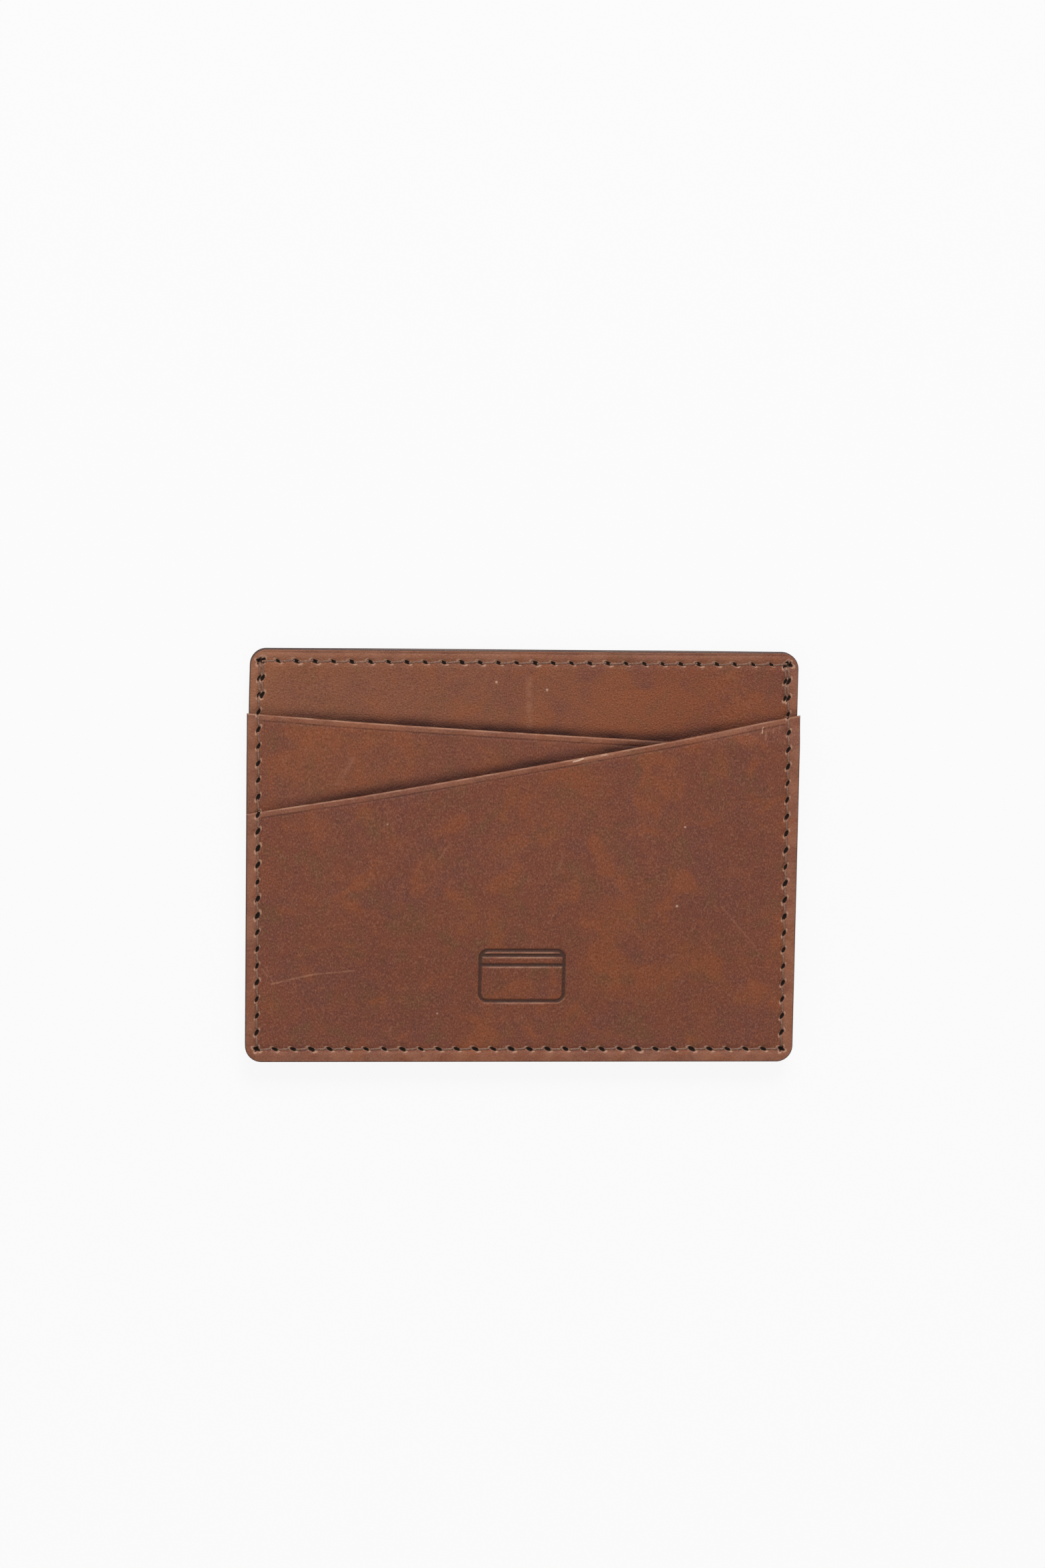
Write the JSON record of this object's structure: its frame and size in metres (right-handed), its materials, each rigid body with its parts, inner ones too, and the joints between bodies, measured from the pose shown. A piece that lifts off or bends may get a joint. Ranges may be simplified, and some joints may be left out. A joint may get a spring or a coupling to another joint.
{
  "type": "minimalist wallet",
  "caption": "Slim leather card holder, sewn on three sides and open at the top, with crossed diagonal pockets on its front for cards and a centre slot for folded notes.",
  "frame": {"origin": "middle of the back face, on the surface that the wallet lies on", "axes": "+X along its width, +Y towards the open top edge, +Z out of the front face"},
  "size_m": [0.1, 0.075, 0.0064],
  "materials": {
    "leather": "waxed pull-up leather with a fine grain and dark painted edges",
    "lining": "plain woven cloth",
    "tape": "matt cloth tape",
    "thread": "twisted thread"
  },
  "bodies": {
    "root": {"back_panel": "leather", "back_lining": "lining", "centre_tape": "tape", "front_lining": "lining", "front_panel": "leather", "upper_tape": "tape", "upper_pocket": "leather", "lower_tape": "tape", "lower_pocket": "leather", "back_top_thread": "thread", "back_top_bobbin_thread": "thread", "front_top_thread": "thread", "front_top_bobbin_thread": "thread", "floor_thread": "thread", "floor_bobbin_thread": "thread", "rim_thread": "thread", "rim_bobbin_thread": "thread", "left_tack_thread": "thread", "right_tack_thread": "thread"}
  },
  "joints": []
}
